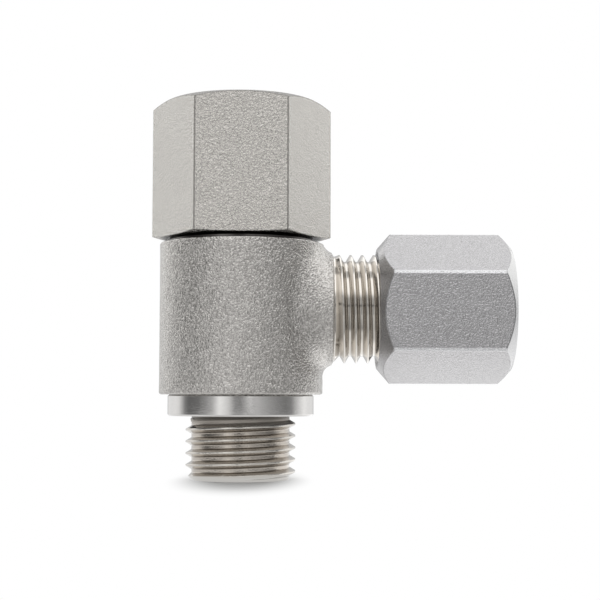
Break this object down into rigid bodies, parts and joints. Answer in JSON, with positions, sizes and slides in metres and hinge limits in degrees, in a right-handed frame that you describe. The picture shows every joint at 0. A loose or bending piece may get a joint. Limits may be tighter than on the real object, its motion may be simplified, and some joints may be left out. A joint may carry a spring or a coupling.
{
  "type": "banjo tee fitting",
  "caption": "Stainless banjo tee fitting: hollow hexagon bolt with threaded stud and port, swivelling forged barrel, side branch with cutting ring and union nut.",
  "frame": {"origin": "on the bolt axis, in the plane of the port face that the lower ring seats on", "axes": "+Z along the bolt towards its hexagon head, +X along the side branch towards the union nut"},
  "size_m": [0.0459, 0.0208, 0.0483],
  "materials": {
    "bolt_steel": "satin",
    "body_steel": "blasted",
    "ring_steel": "turned",
    "cutting_ring_steel": "satin",
    "nut_steel": "satin",
    "seal_rubber": "matte"
  },
  "bodies": {
    "bolt": {"hollow_bolt": "bolt_steel", "upper_ring": "ring_steel", "upper_rubber": "seal_rubber", "lower_ring": "ring_steel", "lower_rubber": "seal_rubber"},
    "banjo": {"banjo_body": "body_steel"},
    "ferrule": {"cutting_ring": "cutting_ring_steel"},
    "nut": {"union_nut": "nut_steel"}
  },
  "joints": [
    {"name": "banjo_swivel", "type": "hinge", "parent": "bolt", "child": "banjo", "pos_m": [0, 0, 0.0137], "axis": [0, 0, 1], "continuous": true},
    {"name": "nut_travel", "type": "slide", "parent": "banjo", "child": "ferrule", "axis": [1, 0, 0], "range_m": [0, 0.0075]},
    {"name": "nut_turn", "type": "hinge", "parent": "ferrule", "child": "nut", "pos_m": [0.0259, 0, 0.0137], "axis": [1, 0, 0], "range_deg": [0, 1800]}
  ],
  "couplings": [
    {"joint": "nut_turn", "follows": "nut_travel", "rad_per_m": 4188.8}
  ]
}
